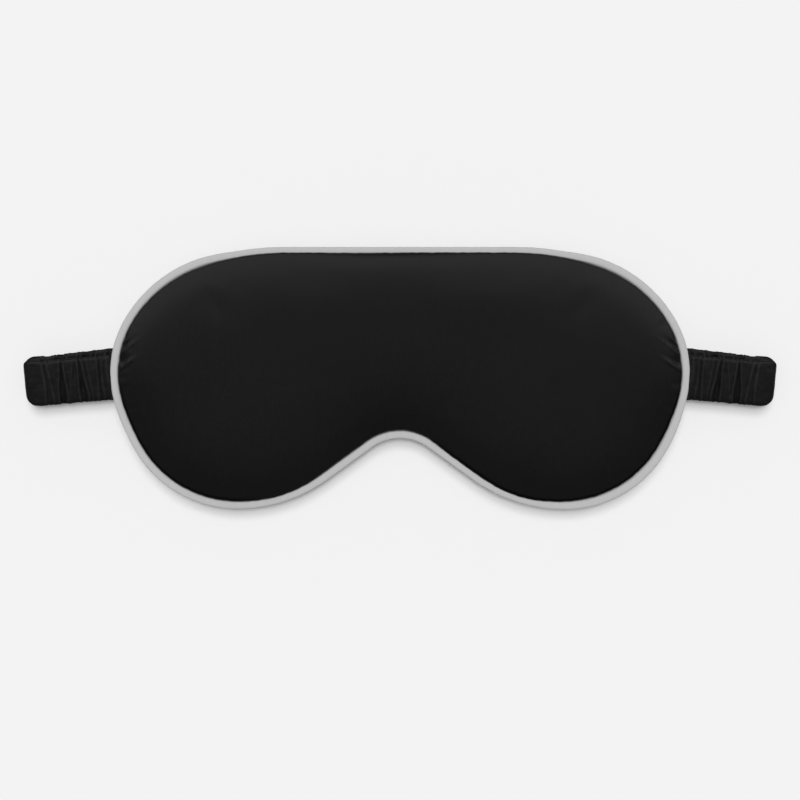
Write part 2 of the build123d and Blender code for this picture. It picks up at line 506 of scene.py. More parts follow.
def run_cloth(sim, inset, bulge):
    """Blows the pinned cover up as cloth and keeps the result in its mesh."""
    group = sim.vertex_groups.new(name="rim")
    group.add([int(i) for i in np.nonzero(inset < 0.5)[0]], 1.0, "REPLACE")
    cloth = sim.modifiers.new("cloth", "CLOTH")
    settings = cloth.settings
    settings.vertex_group_mass = "rim"
    settings.quality = 8
    settings.mass = 0.3
    settings.air_damping = 4
    settings.tension_stiffness = 20
    settings.compression_stiffness = 20
    settings.shear_stiffness = 10
    settings.bending_stiffness = 4.0
    settings.use_pressure = True
    settings.uniform_pressure_force = math.copysign(SIM_PRESSURE, bulge)
    settings.effector_weights.gravity = 0
    cloth.collision_settings.use_collision = False
    cloth.point_cache.frame_start = 1
    cloth.point_cache.frame_end = SIM_FRAMES
    for number in range(1, SIM_FRAMES + 1):
        bpy.context.scene.frame_set(number)
    apply_modifiers(sim)
    bpy.context.scene.frame_set(1)


def inflate(name, base_z, bulge):
    """A function for the height of a cover's crown: a pillow, moved a little by simulated cloth."""
    points, faces = sheet_mesh((0.0,), SIM_SPACING, step=6)
    inset = inset_of(points)
    start = SIM_START * bulge * pillow(points, inset)
    sim = add_mesh(name, np.column_stack([points, base_z + start]), faces)
    run_cloth(sim, inset, bulge)
    moved = np.array([v.co.z for v in sim.data.vertices]) / MM - base_z - start
    moved = SIM_CAP * np.tanh(moved / SIM_CAP)
    peak = np.abs(start + moved).max()
    for vertex, z in zip(sim.data.vertices, moved):
        vertex.co.z = z * MM
    smooth = sim.modifiers.new("smooth", "SUBSURF")
    smooth.levels = smooth.render_levels = 2
    apply_modifiers(sim)
    corners = [v.co for v in sim.data.vertices]
    tree = BVHTree.FromPolygons(corners, [p.vertices for p in sim.data.polygons])
    bpy.data.objects.remove(sim)

    def height(xy, inset):
        """The crown's height at points and at how far inside the seam they are."""
        out = SIM_START * bulge * pillow(xy, inset)
        for i, (x, y) in enumerate(xy * MM):
            hit = tree.ray_cast(Vector((x, y, 1)), Vector((0, 0, -1)))[0]
            out[i] += hit.z / MM if hit else 0.0
        return np.abs(out) * abs(bulge) / peak

    return height


def wave_noise(points, period, seed):
    """Smooth noise from a few sine waves in seeded directions, about -1 to 1."""
    rng = np.random.default_rng(seed)
    total = np.zeros(len(points))
    for _ in range(9):
        angle = rng.uniform(0, 2 * math.pi)
        wave = 2 * math.pi / (period * rng.uniform(0.7, 1.6))
        phase = rng.uniform(0, 2 * math.pi)
        total += np.sin((points[:, 0] * math.cos(angle) + points[:, 1] * math.sin(angle)) * wave + phase)
    return total / 4.0


def crease(points, start, direction, length, width, depth):
    """A fold that starts at the seam: a short hollow and, below it, a longer narrow ridge."""
    direction = np.asarray(direction, float) / np.linalg.norm(direction)
    rel = points - np.asarray(start)
    along = rel @ direction
    across = (rel @ np.array([-direction[1], direction[0]])) * np.sign(direction[0])
    drop = width * (1.0 - 0.5 * np.clip(along / length, 0, 1))
    begin = smoothstep(-1.5, 0.5, along)
    near = 1 - smoothstep(0.0, 0.5 * length, along)
    far = (1 - smoothstep(0.1 * length, length, along)) ** 1.3
    ridge = 0.5 * far * np.exp(-(((across + drop) / (0.26 * width)) ** 2))
    hollow = near * np.exp(-((across / (0.62 * width)) ** 2))
    tail = 0.3 * far * np.exp(-(((across + 0.4 * drop) / (0.45 * width)) ** 2))
    return depth * begin * (ridge - hollow - tail)


# height on the side seam, direction on the right half, length, width and depth of each fold
PINCHES = (
    (13.2, (-1.0, 1.1), 7, 1.3, 0.55),
    (10.6, (-1.0, 0.72), 13, 1.9, 0.60),
    (5.3, (-1.0, 0.55), 10, 2.6, 1.00),
)


def seam_x(y):
    """The seam's half width at a height."""
    right = SEAM[SEAM[:, 0] > 60]
    order = np.argsort(right[:, 1])
    return float(np.interp(y, right[order, 1], right[order, 0]))


def pinch_relief(points):
    """Furrows that spread into the cover from the strap ends."""
    total = np.zeros(len(points))
    rng = np.random.default_rng(11)
    for side in SIDES.values():
        for start_y, direction, length, width, depth in PINCHES:
            y = start_y + rng.uniform(-0.3, 0.3)
            start = (side * seam_x(y), y)
            way = (side * direction[0], direction[1] + rng.uniform(-0.06, 0.06))
            total += crease(points, start, way, length * rng.uniform(0.9, 1.1), width, depth)
    return total


def seam_ripple(points, seed, periods):
    """An uneven ripple that runs along the seam, about -1 to 1."""
    run = nearest_on_seam(points)[0] / OUTLINE_POINTS
    rng = np.random.default_rng(seed)
    total = np.zeros(len(points))
    for period in periods:
        count = round(perimeter() / period)
        total += np.sin(2 * math.pi * (count * run + rng.uniform(0, 1)))
    return total / math.sqrt(len(periods))


def pucker_relief(points, inset, seed, depth):
    """Small uneven puckers where the cover is drawn into the seam."""
    ripple = seam_ripple(points, seed, PUCKER_PERIODS)
    return depth * ripple * smoothstep(0.0, 1.0, inset) * (1 - smoothstep(1.5, 6.0, inset))


def cover_shape(node, up):
    """A padded cover's side and a function from XY and inset to its surface height."""
    low, high = node_box(node)
    side = 1 if up else -1
    base_z = low[2] if up else high[2]
    rise = RIM_RISE * (high[2] - low[2])
    bulge = (high[2] - low[2]) - rise
    blown = inflate(node + "_sim", base_z + side * rise, side * bulge)
    seed = 5 if up else 6

    def surface(points, inset):
        """The cover's outer face, with its waves, puckers and folds."""
        shape = rise * rim_step(inset) + blown(points, inset)
        shape += CROWN_WAVE * wave_noise(points, CROWN_WAVE_PERIOD, seed) * smoothstep(3, 14, inset)
        shape += pucker_relief(points, inset, seed + 16, PUCKER_DEPTH)
        if up:
            shape += pinch_relief(points)
        z = base_z + side * np.maximum(shape, 0.0)
        return z if up else np.minimum(z, strap_mouth(points))

    return side, surface


def rim_shade(points):
    """Where the front cover's rim rolls under and gets painted shade: outside both lobes, and inside the
    right one.
    """
    x, y = points[:, 0], points[:, 1]
    left = 1 - smoothstep(-62, -46, x)
    right = smoothstep(6, 22, x)
    return np.maximum(left, right) * (1 - smoothstep(-14, 4, y))


def make_cover(name, node, side, surface):
    """A padded cover from its surface, with a rim that wanders and the cloth's thickness."""
    points, faces = sheet_mesh(RIM_RINGS, INNER_SPACING)
    inset = inset_of(points)
    z = surface(points, inset)
    nearest = nearest_on_seam(points)[0]
    push = RIM_OVERHANG * np.sin(math.pi * np.clip(inset / 0.7, 0, 1) * 0.5 + 0.4)
    push += RIM_WANDER * seam_ripple(points, 77, RIM_WANDER_PERIODS)
    for x, y, reach, amount in RIM_DRIFT if side > 0 else ():
        push += amount * np.exp(-((np.hypot(points[:, 0] - x, points[:, 1] - y) / reach) ** 2))
    push *= 1 - smoothstep(0.8, 6, inset)
    placed = points + SEAM_NORMAL[nearest] * (push * smoothstep(-0.02, 0.1, inset))[:, None]
    if side < 0:
        faces = [tuple(reversed(f)) for f in faces]
    piece = add_mesh(name, np.column_stack([placed, z]), faces)
    if side > 0:
        # painted shade on the rolled-under rim, kept as the hollow value
        shade = rim_shade(placed) * (1 - smoothstep(*RIM_SHADE_WIDTH, inset))
        values = piece.data.attributes.new("hollow", "FLOAT", "POINT")
        values.data.foreach_set("value", shade.astype(np.float32))
    solid = piece.modifiers.new("cloth", "SOLIDIFY")
    solid.thickness = COVER_FABRIC * MM
    solid.offset = -1
    apply_modifiers(piece)
    piece.data.shade_smooth()
    place_on_mask(piece, node, "cover_satin")


def make_padding(name, node, side, surface):
    """The wadding that fills a cover, flat against the lining and crowned under the cloth."""
    low, high = node_box(node)
    flat_z = low[2] if side > 0 else high[2]
    points, faces = sheet_mesh(PADDING_RINGS, PADDING_SPACING, PADDING_STEP)
    inset = inset_of(points)
    outer = surface(points, inset) - side * PADDING_ROOM
    inner = smoothstep(PADDING_INSET + 1, PADDING_INSET + 5, inset)
    lump = np.abs(PADDING_LUMP * wave_noise(points, 9, 41) * inner)
    outer = flat_z + side * np.maximum(side * (outer - flat_z) - lump, PADDING_THINNEST)
    count = len(points)
    rim = len(SEAM[::PADDING_STEP])
    both = np.vstack([np.column_stack([points, outer]), np.column_stack([points, np.full(count, flat_z)])])
    every = [tuple(f) for f in faces] + [tuple(count + i for i in reversed(f)) for f in faces]
    every += [(i, count + i, count + (i + 1) % rim, (i + 1) % rim) for i in range(rim)]
    if side < 0:
        every = [tuple(reversed(f)) for f in every]
    piece = add_mesh(name, both, every)
    place_on_mask(piece, node, "wadding")


def strap_mouth(points):
    """The height that the back cover stays under where a strap end enters the seam."""
    low, high = node_box("strap_sleeve_end_right")
    middle = (low[1] + high[1]) / 2
    half = (high[1] - low[1]) / 2
    across = 1 - smoothstep(half - 0.2, half + 3.0, np.abs(points[:, 1] - middle))
    along = smoothstep(low[0] - 3.0, low[0] + 2.0, np.abs(points[:, 0]))
    share = across * along
    base = node_box("back_cover")[1][2]
    room = low[2] - MOUTH_ROOM
    return np.where(share > 0, base + (room - base) * share, NO_CEILING)


# ---------------------------------------------------------------- piping

PIPING_SEGMENTS = 26
PIPING_OPENING = math.radians(166)
PIPING_SQUARE = 0.6
PIPING_FLATTEN = 0.9
CORD_SEGMENTS = 16
# the flange in the seam: from and to, inside the seam line, and its half thickness
FLANGE_START = 1.2
FLANGE_END = 4.6
FLANGE_HALF = 0.22
# the strip along the forehead, and at the bottom of the right lobe
TOP_NARROWER = 0.16
TOP_DRAWN_IN = 0.46
LOBE_WIDER = 0.16
LOBE_FURTHER = 0.25
PIPING_SWELL = 0.03
PIPING_WANDER = 0.025


def piping_lay():
    """The piping's half width and how far its middle lies outside the seam, along the seam.

    It is drawn under the cover along the forehead and is wider on the lower right lobe."""
    low, high = node_box("piping_cover")
    radius = (high[2] - low[2]) / 2
    run = np.arange(OUTLINE_POINTS) / OUTLINE_POINTS
    top = (1 - smoothstep(56, 74, np.abs(SEAM[:, 0]))) * smoothstep(30, 42, SEAM[:, 1])
    rng = np.random.default_rng(31)
    swell = np.zeros(OUTLINE_POINTS)
    for count in (37, 61, 97, 151, 229):
        swell += np.sin(2 * math.pi * (count * run + rng.uniform(0, 1))) / 3
    lower_right = smoothstep(40, 85, SEAM[:, 0]) * (1 - smoothstep(-22, -6, SEAM[:, 1]))
    size = radius * (1 - TOP_NARROWER * top + LOBE_WIDER * lower_right) + PIPING_SWELL * swell
    out = radius * (1 - TOP_DRAWN_IN * top + LOBE_FURTHER * lower_right)
    out += PIPING_WANDER * np.roll(swell, 17)
    return size, out, size / radius


def seam_tube(name, rings):
    """A closed tube round the seam from rings of points that run along it."""
    return add_mesh(name, np.vstack(rings), quads(len(rings), OUTLINE_POINTS, closed=True))


def make_cord():
    """The cord inside the piping, which follows the piping's lay."""
    low, high = node_box("piping_cord")
    _, out, share = piping_lay()
    radius = (high[2] - low[2]) / 2 * np.minimum(share, 1.0)
    rings = []
    for angle in np.linspace(math.pi, -math.pi, CORD_SEGMENTS, endpoint=False):
        offset = (out + radius * math.cos(angle))[:, None]
        height = SEAM_Z + PIPING_FLATTEN * radius * math.sin(angle)
        rings.append(np.column_stack([SEAM + SEAM_NORMAL * offset, height]))
    piece = seam_tube("piping_core_cord", rings)
    place_on_mask(piece, "piping_cord", "cord")


def make_piping():
    """The piping: a bias strip round a cord with its flange turned into the seam."""
    size, out, _ = piping_lay()
    rings = []
    for angle in np.linspace(PIPING_OPENING, -PIPING_OPENING, PIPING_SEGMENTS):
        across = math.copysign(abs(math.cos(angle)) ** PIPING_SQUARE, math.cos(angle))
        height = math.copysign(abs(math.sin(angle)) ** PIPING_SQUARE, math.sin(angle))
        offset = (out + size * across)[:, None]
        z = SEAM_Z + PIPING_FLATTEN * size * height
        rings.append(np.column_stack([SEAM + SEAM_NORMAL * offset, z]))
    for inset, z in (
        (FLANGE_START, -FLANGE_HALF),
        (FLANGE_END, -FLANGE_HALF),
        (FLANGE_END, FLANGE_HALF),
        (FLANGE_START, FLANGE_HALF),
    ):
        flange = SEAM - SEAM_NORMAL * inset
        rings.append(np.column_stack([flange, np.full(OUTLINE_POINTS, SEAM_Z + z)]))
    piece = seam_tube("piping_bias_strip", rings)
    place_on_mask(piece, "piping_cover", "piping_satin")


# ---------------------------------------------------------------- strap

PATH_STEP = 0.05
ROW_STEP = 0.23
FLAT_STEPS = 28
EDGE_STEPS = 12
EDGE_SHARE = 0.17
LOOP_GAP = 0.25
# where the strap rises from the seam to its front part, past the end of its end node
STRAP_RISE = (-1.4, 1.2)
# the least height of the strap's points above the floor
TABLE_ROOM = 0.02
# the room for the elastic inside the sleeve, as half its thickness and half its width
TUNNEL_HALF = (0.66, 6.6)
ELASTIC_HALF_WIDTH = 6.0
JOINT_OVERLAP = 0.6

# gathers of the part in front, seen from the fold: distance from the fold to the crest at the
# upper edge and at the lower edge, how sharp the crest is, how deep the valley beyond it is
LEG_GATHERS = (
    (0.2, 2.4, 0.9, 0.35),
    (1.8, 5.8, 0.8, 0.40),
    (7.0, 7.2, 0.9, 1.00),
    (7.65, 10.4, 1.0, 0.35),
    (11.9, 11.2, 0.5, 0.45),
    (13.1, 14.9, 0.9, 1.00),
    (14.2, 18.3, 1.0, 0.40),
    (16.9, 19.7, 0.5, 0.40),
    (20.0, 21.6, 1.0, 0.60),
    (21.8, 23.9, 0.8, 0.45),
    (24.0, 25.4, 0.8, 0.45),
)
LEG_RISE = 0.4
# the gathers elsewhere: gaps at the wide and at the narrow edge, crest sharpness and valley depth
WIDE_GAP = (2.8, 4.6)
NARROW_GAP = (0.9, 1.7)
SHARPNESS = (0.5, 1.0)
SHALLOW = (0.35, 0.6)
CREST_RISE = 0.10
GROOVE_DEPTH = 0.22
VALLEY_WOBBLE = 0.16
GATHER_FULLNESS = 0.3
TIP_FULLNESS = 0.5
GATHER_CLEARANCE = 0.6
DEEPEST_VALLEY = 1.05
CREST_WIDTH = 0.30
# how much of the gathers' relief shows in the strap's width
EDGE_RELIEF = 0.42
CALM_TIP = (3.0, 6.4)
TIP_LEAN = 0.11
TIP_LEAN_REACH = 9
TIP_ROUNDING = {"upper": 2.0, "lower": 2.6}


def centre_y(node, x, reach=0.4):
    """The middle of a strap node's width at an end."""
    points = node_points(node)
    near = points[np.abs(np.abs(points[:, 0]) - x) < reach]
    return float((near[:, 1].min() + near[:, 1].max()) / 2)


def strap_path():
    """The right half of the strap's centre line: distance, x, z, y and half sizes."""
    end_low, end_high = node_box("strap_sleeve_end_right")
    leg_low, leg_high = node_box("strap_sleeve_leg_right")
    band_low, band_high = node_box("strap_sleeve_band_right")
    end_z = (end_low[2] + end_high[2]) / 2
    leg_z = (leg_low[2] + leg_high[2]) / 2
    band_z = (band_low[2] + band_high[2]) / 2
    radius = (leg_z - band_z) / 2
    fold_x = node_box("strap_sleeve_fold_right")[0][0]
    rise_start, rise_end = (end_high[0] + past for past in STRAP_RISE)
    xs = np.arange(end_low[0] + 0.4, fold_x, PATH_STEP)
    zs = end_z + (leg_z - end_z) * smoothstep(rise_start, rise_end, xs)
    turn = np.arange(0, math.pi, PATH_STEP / radius)
    back = np.arange(fold_x, LOOP_GAP, -PATH_STEP)
    x = np.concatenate([xs, fold_x + radius * np.sin(turn), back])
    z = np.concatenate([zs, band_z + radius * (1 + np.cos(turn)), np.full(len(back), band_z)])
    run = np.concatenate([[0], np.cumsum(np.hypot(np.diff(x), np.diff(z)))])
    leg_run = run[len(xs) - 1]
    fold_run = run[len(xs) + len(turn) - 1]
    leg_y0 = centre_y("strap_sleeve_leg_right", leg_low[0]) + LEG_RISE
    leg_y1 = centre_y("strap_sleeve_leg_right", leg_high[0])
    band_y0 = centre_y("strap_sleeve_band_right", band_high[0], 1.5)
    band_y1 = centre_y("strap_sleeve_centre_right", node_box("strap_sleeve_centre_right")[0][0])
    leg_y = np.interp(x, [leg_low[0], leg_high[0]], [leg_y0, leg_y1])
    reach = np.clip((x - band_low[0]) / (band_high[0] - band_low[0]), 0, 1)
    band_y = band_y1 + (band_y0 - band_y1) * reach**2
    y = leg_y + (band_y - leg_y) * smoothstep(leg_run, fold_run, run)
    full = smoothstep(rise_start, rise_end, x)
    full = np.where(run > leg_run, 1.0, full)
    half_t = (end_high[2] - end_low[2]) / 2 + full * (
        (leg_high[2] - leg_low[2]) / 2 - (end_high[2] - end_low[2]) / 2
    )
    fold_low, fold_high = node_box("strap_sleeve_fold_right")
    half_w = np.full(len(x), (fold_high[1] - fold_low[1]) / 2 + GATHER_FULLNESS)
    return {
        "run": run,
        "x": x,
        "z": z,
        "y": y,
        "half_t": half_t,
        "half_w": half_w,
        "full": full,
        "leg_run": leg_run,
        "fold_run": fold_run,
        "total": run[-1],
    }


PATH = strap_path()
STRAP_KEYS = ("x", "z", "y", "half_t", "half_w", "full")


def random_gathers(rng, start, stop):
    """Gathers between two distances; a gap that is wide at one edge is narrow at the other."""
    upper = lower = start
    made = []
    while max(upper, lower) < stop:
        turn = len(made)
        depth = 1.0 if turn % 4 == 1 else rng.uniform(*SHALLOW)
        made.append((upper, lower, rng.uniform(*SHARPNESS), depth))
        wide = rng.uniform(*WIDE_GAP)
        narrow = rng.uniform(*NARROW_GAP)
        upper += narrow if turn % 2 else wide
        lower += wide if turn % 2 else narrow
    return made


def gather_table(seed, with_leg):
    """All gathers of one face of the strap, in order along it."""
    rng = np.random.default_rng(seed)
    leg_run, tip_run = PATH["leg_run"], (PATH["leg_run"] + PATH["fold_run"]) / 2
    if with_leg:
        longest = max(LEG_GATHERS[-1][:2])
        made = random_gathers(rng, -12.0, leg_run - longest - 1)
        made += [(leg_run - u, leg_run - l, sharp, deep) for u, l, sharp, deep in LEG_GATHERS[::-1]]
        made += random_gathers(rng, tip_run + CALM_TIP[1], PATH["total"] + 12)
    else:
        made = random_gathers(rng, -12.0, PATH["total"] + 12)
    kept = made[:1]
    for gather in made[1:]:
        if min(gather[0] - kept[-1][0], gather[1] - kept[-1][1]) > GATHER_CLEARANCE:
            kept.append(gather)
    return np.array(kept).T


def gather_fields(run, share, table):
    """Relief, crest and hollow of the gathers at points along (run) and across (share) the strap; the
    crest also sets a painted highlight and the hollow a painted shade.
    """
    upper, lower, sharp, deep = table
    shape = run.shape
    run, share = run.ravel(), share.ravel()
    number = np.arange(len(upper))[:, None]
    lines = lower[:, None] + (upper - lower)[:, None] * share
    lines += 0.35 * np.sin(number * 2.4) * np.sin(math.pi * share)
    lines += 0.12 * np.sin(share * (7 + 2 * np.sin(number * 1.7)) + number * 1.9)
    left = np.clip((lines <= run).sum(axis=0) - 1, 0, len(upper) - 2)
    each = np.arange(len(run))
    start, stop = lines[left, each], lines[left + 1, each]
    gap = np.maximum(stop - start, 0.3)
    t = np.clip((run - start) / gap, 0, 1)
    valley = 1 - np.abs(2 * t - 1) ** 2.2
    depth = np.minimum(0.15 + 0.3 * gap, DEEPEST_VALLEY) * deep[left + 1]
    nearest = np.minimum(run - start, stop - run)
    peak = np.where(t < 0.5, sharp[left], sharp[left + 1])
    peak = peak * (0.75 + 0.25 * np.sin(share * 5.3 + left * 2.1))
    crest = peak * np.exp(-((nearest / CREST_WIDTH) ** 2))
    groove = sharp[left + 1] * np.exp(-(((stop - run - 0.65) / 0.3) ** 2))
    relief = CREST_RISE * crest - depth * valley - GROOVE_DEPTH * groove
    relief += VALLEY_WOBBLE * valley * np.sin(share * 9 + left * 3.3) * np.minimum(depth, 0.6)
    relief = np.maximum(relief, -DEEPEST_VALLEY)
    # painted shade in the deep valleys and in the grooves beside the crests
    hollow = 0.55 * smoothstep(0.45, 1.2, -relief) + 0.25 * groove
    return relief.reshape(shape), crest.reshape(shape), hollow.reshape(shape)


def section_shape():
    """The strap's cross section as shares of its half width and half thickness."""
    flat = np.linspace(1 - EDGE_SHARE, EDGE_SHARE - 1, FLAT_STEPS, endpoint=False)
    turn = np.linspace(math.pi / 2, 3 * math.pi / 2, EDGE_STEPS, endpoint=False)
    edge = EDGE_SHARE - 1 + EDGE_SHARE * np.cos(turn)
    across = np.concatenate([flat, edge, -flat, -edge])
    thick = np.concatenate([np.ones(FLAT_STEPS), np.sin(turn), -np.ones(FLAT_STEPS), -np.sin(turn)])
    return across, thick * (1 - 0.10 * across**2)


def strap_rows():
    """How far along the strap each of its rings lies, and the path's values and normals there."""
    count = int(PATH["total"] / ROW_STEP)
    runs = np.linspace(0, PATH["total"], count)
    pick = {k: np.interp(runs, PATH["run"], PATH[k])[:, None] for k in STRAP_KEYS}
    slope_x, slope_z = np.gradient(pick["x"][:, 0], runs), np.gradient(pick["z"][:, 0], runs)
    size = np.hypot(slope_x, slope_z)
    pick["normal_x"], pick["normal_z"] = (-slope_z / size)[:, None], (slope_x / size)[:, None]
    return runs, pick


def along_strap(side, pick, across, thick, lean=0.0):
    """Points at offsets across and through the strap."""
    x = pick["x"] + pick["normal_x"] * thick + lean * across
    z = pick["z"] + pick["normal_z"] * thick
    y = pick["y"] + across
    return np.stack(np.broadcast_arrays(side * x, y, np.maximum(z, TABLE_ROOM)), axis=2)


def rounded_tip(runs, tip_run, share):
    """How much the strap's half width draws in near the fold, so that its corners look round."""
    radius = (PATH["fold_run"] - PATH["leg_run"]) / math.pi + float(PATH["half_t"].max())
    angle = np.clip((runs - tip_run) / (PATH["fold_run"] - PATH["leg_run"]), -0.5, 0.5) * math.pi
    back = (radius * (1 - np.cos(angle)))[:, None]
    corner = np.where(share > 0.5, TIP_ROUNDING["upper"], TIP_ROUNDING["lower"])
    return corner - np.sqrt(corner**2 - np.clip(corner - back, 0, corner) ** 2)


def make_sleeve(side_name):
    """The gathered sleeve of one side, split where the strap bends."""
    side = SIDES[side_name]
    runs, pick = strap_rows()
    v_unit, t_unit = section_shape()
    leg_run, fold_run = PATH["leg_run"], PATH["fold_run"]
    tip_run = (leg_run + fold_run) / 2
    share = np.broadcast_to(v_unit / 2 + 0.5, (len(runs), len(v_unit)))
    grid_run = np.repeat(runs[:, None], len(v_unit), axis=1)
    outer = smoothstep(-0.4, 0.4, t_unit)[None, :]
    fields = [gather_fields(grid_run, share, gather_table(seed, seed == 3)) for seed in (3, 4)]
    relief, crest, hollow = (outer * a + (1 - outer) * b for a, b in zip(*fields))
    calm = 1 - smoothstep(*CALM_TIP, np.abs(runs - tip_run))
    live = (1 - 0.85 * calm)[:, None] * pick["full"]
    fine = 0.04 * np.sin(grid_run * 7.3 + share * 6.4) + 0.03 * np.sin(grid_run * 11.9 - share * 14)
    soft = 0.10 * np.sin(grid_run * 1.1 + share * 5.0)
    relief = relief * live + (fine + soft) * (0.25 + 0.75 * pick["full"])
    relief += TIP_FULLNESS * (1 - smoothstep(2.0, 7.0, np.abs(runs - tip_run)))[:, None] * outer
    width = pick["half_w"] + EDGE_RELIEF * relief - rounded_tip(runs, tip_run, share)
    lean = (TIP_LEAN * (1 - smoothstep(0, TIP_LEAN_REACH, np.abs(runs - tip_run))))[:, None]
    skin = along_strap(side, pick, v_unit * width, t_unit * (pick["half_t"] + relief), lean)
    tunnel_t = np.minimum(TUNNEL_HALF[0], 0.45 * pick["half_t"]) * t_unit
    tunnel_v = (TUNNEL_HALF[1] - 0.8 * calm)[:, None] * v_unit
    core = along_strap(side, pick, tunnel_v, tunnel_t)
    # painted highlight on the crests and painted shade in the hollows, kept on the mesh for the satin's
    # colour
    shades = {"crest": crest * live, "hollow": hollow * live}
    cuts = {
        "leg": (0.0, leg_run - JOINT_OVERLAP),
        "fold": (leg_run - JOINT_OVERLAP, fold_run + JOINT_OVERLAP),
        "band": (fold_run + JOINT_OVERLAP, PATH["total"]),
    }
    slack = ROW_STEP * 0.51
    made = {}
    for place, (start, stop) in cuts.items():
        rows = np.nonzero((runs >= start - slack) & (runs <= stop + slack))[0]
        name = f"strap_{place}_sleeve_{side_name}"
        parts = {key: values[rows] for key, values in shades.items()}
        made[place] = tube(name, skin[rows], core[rows], side, parts)
    return made


def tube(name, skin, core, side, shades):
    """A hollow tube from rings of outer and inner points."""
    rows, around = skin.shape[:2]
    points = np.vstack([skin.reshape(-1, 3), core.reshape(-1, 3)])
    inner = rows * around
    faces = []
    for face in quads(rows, around):
        faces.append(face)
        faces.append(tuple(inner + corner for corner in reversed(face)))
    last = (rows - 1) * around
    for i in range(around):
        j = (i + 1) % around
        faces.append((i, inner + i, inner + j, j))
        faces.append((last + j, inner + last + j, inner + last + i, last + i))
    if side > 0:
        faces = [tuple(reversed(f)) for f in faces]
    piece = add_mesh(name, points, faces)
    mark_rims(piece, rows, around)
    for key, values in shades.items():
        both = np.concatenate([values.ravel(), np.zeros(inner)])
        piece.data.attributes.new(key, "FLOAT", "POINT").data.foreach_set("value", both)
    return piece


def mark_rims(piece, rows, around):
    """Sharp edges where a tube ends, so that its skin shades smoothly up to the cut."""
    ends = set(range(around)) | set(range((rows - 1) * around, rows * around))
    sharp = piece.data.attributes.new("sharp_edge", "BOOLEAN", "EDGE")
    flags = [a in ends and b in ends for a, b in (e.vertices for e in piece.data.edges)]
    sharp.data.foreach_set("value", flags)


def bend_leg(piece, side_name):
    """Bakes the placement of the part in front into its mesh."""
    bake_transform(piece)


def bend_fold(piece, side_name):
    """Bakes the placement of the fold into its mesh."""
    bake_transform(piece)


def bend_band(piece, side_name):
    """Bakes the placement of the part behind the mask into its mesh."""
    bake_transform(piece)


BENDS = {"leg": bend_leg, "fold": bend_fold, "band": bend_band}
SLEEVE_NODES = {"leg": ("leg", "end"), "fold": ("fold",), "band": ("band", "centre")}


def make_strap():
    """Both halves of the strap, each piece with its material and its placement baked into its mesh."""
    leg_stop, fold_stop = PATH["leg_run"] - JOINT_OVERLAP, PATH["fold_run"] + JOINT_OVERLAP
    for side_name in SIDES:
        for place, piece in make_sleeve(side_name).items():
            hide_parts(*(f"strap_sleeve_{node}_{side_name}" for node in SLEEVE_NODES[place]))
            finish_piece(piece, "strap_satin")
            BENDS[place](piece, side_name)
        make_elastic(side_name, "leg", 0.0, leg_stop)
        make_elastic(side_name, "fold", leg_stop, fold_stop)


def make_elastic(side_name, place, start, stop):
    """The flat elastic inside one stretch of the sleeve."""
    side = SIDES[side_name]
    runs, pick = strap_rows()
    rows = np.nonzero((runs >= start) & (runs <= stop))[0]
    pick = {key: values[rows] for key, values in pick.items()}
    v_unit, t_unit = section_shape()
    low, high = node_box("strap_elastic_band_right")
    end_low, end_high = node_box("strap_elastic_end_right")
    thin, thick = (end_high[2] - end_low[2]) / 2, (high[2] - low[2]) / 2
    half_t = (thin + (thick - thin) * pick["full"]) * t_unit
    ring = along_strap(side, pick, ELASTIC_HALF_WIDTH * v_unit, half_t)
    count, around = ring.shape[:2]
    faces = quads(count, around)
    faces.append(tuple(reversed(range(around))))
    faces.append(tuple(range((count - 1) * around, count * around)))
    if side > 0:
        faces = [tuple(reversed(f)) for f in faces]
    piece = add_mesh(f"strap_{place}_elastic_{side_name}", ring.reshape(-1, 3), faces)
    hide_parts(*(f"strap_elastic_{node}_{side_name}" for node in SLEEVE_NODES[place]))
    finish_piece(piece, "elastic")
    BENDS[place](piece, side_name)


# ---------------------------------------------------------------- stage, light and camera

FLOOR_HALF = 3.0
VIEW_WIDTH = 0.2912
VIEW_SHIFT_Y = -0.0084
LENS = 100.0
SENSOR = 36.0


def make_floor():
    """A pale seamless floor, seen from above only."""
    half = FLOOR_HALF
    mesh = bpy.data.meshes.new("floor")
    corners = [(-half, -half, 0), (half, -half, 0), (half, half, 0), (-half, half, 0)]
    mesh.from_pydata(corners, [], [(0, 1, 2, 3)])
    floor = bpy.data.objects.new("floor", mesh)
    bpy.context.scene.collection.objects.link(floor)
    n = Nodes("floor_paper")
    n.set(Base_Color=(0.90, 0.90, 0.90), Roughness=0.9, Specular_IOR_Level=0.1)
    clear = n.add("ShaderNodeBsdfTransparent")
    mix = n.add("ShaderNodeMixShader")
    side = n.add("ShaderNodeNewGeometry")
    out = n.tree.nodes["Material Output"]
    n.link(side.outputs["Backfacing"], mix.inputs[0])
    n.link(n.shader.outputs[0], mix.inputs[1])
    n.link(clear.outputs[0], mix.inputs[2])
    n.link(mix.outputs[0], out.inputs["Surface"])
    mesh.materials.append(n.material)
    floor.visible_glossy = False


def add_sun(name, tilt, spread, strength):
    """Soft parallel light that leans from the forehead edge; it adds no highlights."""
    data = bpy.data.lights.new(name, "SUN")
    data.energy = strength
    data.angle = math.radians(spread)
    sun = bpy.data.objects.new(name, data)
    sun.rotation_euler = (math.radians(-tilt), 0, 0)
    sun.visible_glossy = False
    bpy.context.scene.collection.objects.link(sun)


SURROUND_LEVEL = 0.18
BACKDROP_LEVEL = 0.88
HIGHLIGHT_BASE = 0.08
FOREHEAD_GLOW = (0.16, 0.74, 0.50)
FOREHEAD_SPREAD = 1.8
OVERHEAD_GLOW = (0.93, 0.995, 0.12)


